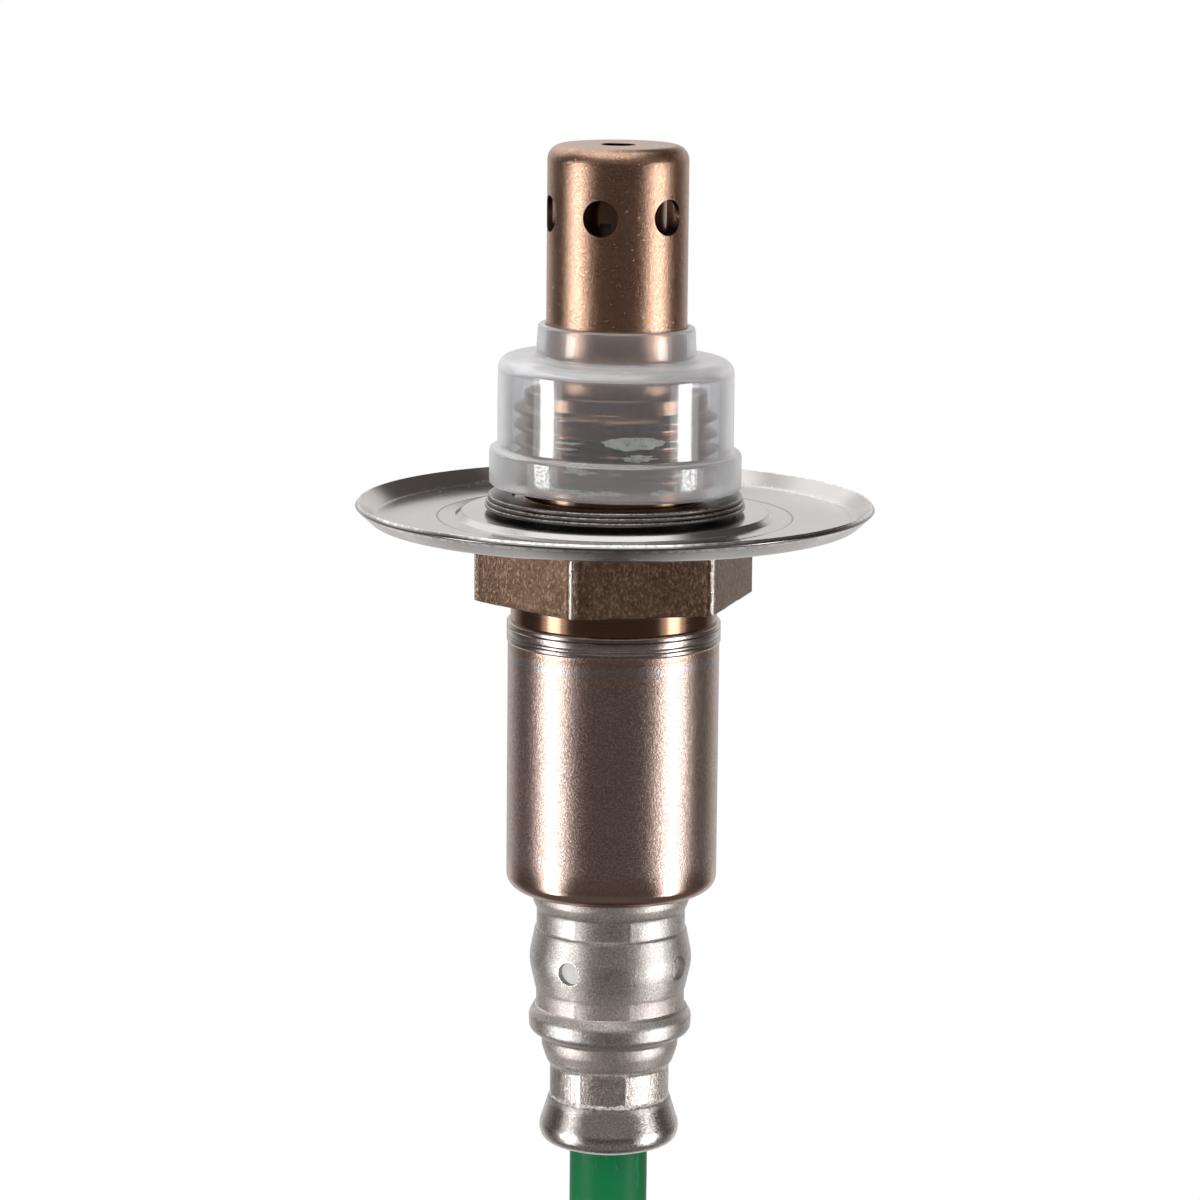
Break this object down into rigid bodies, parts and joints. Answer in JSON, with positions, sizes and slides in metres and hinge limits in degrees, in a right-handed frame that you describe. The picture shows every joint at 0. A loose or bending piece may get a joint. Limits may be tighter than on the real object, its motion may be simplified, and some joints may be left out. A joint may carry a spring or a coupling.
{
  "type": "heated oxygen sensor",
  "caption": "Heated exhaust oxygen sensor: perforated tip, capped thread, gasket, dished disc, hexagon body, crimped vent sleeve and a green cord with a connector.",
  "frame": {"origin": "on the sensor's axis, at the top of the gasket, where it seals against the exhaust boss", "axes": "+Z along the sensor's axis toward its tip, -Y toward the picture's camera, +X to its right"},
  "size_m": [0.0504, 0.046, 0.3045],
  "materials": {
    "steel_body": "turned and forged stainless steel, oiled brown lustre",
    "gasket_metal": "folded dark gunmetal steel sheet",
    "disc_metal": "polished dished stainless steel",
    "tip_metal": "polished drawn steel",
    "cap_plastic": "translucent soft plastic",
    "barrel_metal": "bead blasted drawn steel with heat tint under the collar",
    "vent_metal": "satin drawn steel with crisp crimps",
    "filter_white": "white porous breathing sleeve",
    "ceramic": "white zirconia and alumina ceramic",
    "talc": "pressed grey talc",
    "ring_metal": "plain steel rings",
    "terminal_metal": "nickel plated spring strip",
    "lead_insulation": "white lead insulation",
    "rubber_plug": "dark fluorine rubber",
    "cord_green": "green extruded sheath",
    "tie_black": "black nylon strap",
    "connector_grey": "moulded dark grey nylon",
    "boot_black": "black rubber boot",
    "lock_plastic": "moulded red brown lock plate",
    "seal_rubber": "soft blue grey silicone"
  },
  "bodies": {
    "root": {"housing": "steel_body", "gasket": "gasket_metal", "heat_shield": "disc_metal", "sensing_element": "ceramic", "packing_ring": "ring_metal", "powder_seal": "talc", "insulator_sleeve": "ceramic", "crimp_ring": "ring_metal", "heater_rod": "ceramic", "inner_protector": "tip_metal", "outer_protector": "tip_metal", "protective_cap": "cap_plastic", "barrel_cover": "barrel_metal", "vent_filter": "filter_white", "vent_cover": "vent_metal", "separator": "ceramic", "separator_spring": "ring_metal", "grommet": "rubber_plug", "lead_wire_1": "lead_insulation", "lead_wire_2": "lead_insulation", "lead_wire_3": "lead_insulation", "lead_wire_4": "lead_insulation", "outer_terminal": "terminal_metal", "inner_terminal": "terminal_metal", "heater_terminal_a": "terminal_metal", "heater_terminal_b": "terminal_metal", "cord": "cord_green", "cord_hank": "cord_green", "hank_tie": "tie_black", "cord_tail": "cord_green", "connector_boot": "boot_black", "connector_housing": "connector_grey", "connector_lock": "lock_plastic", "connector_pins": "terminal_metal", "connector_seals": "seal_rubber", "connector_leads": "lead_insulation"}
  },
  "joints": []
}
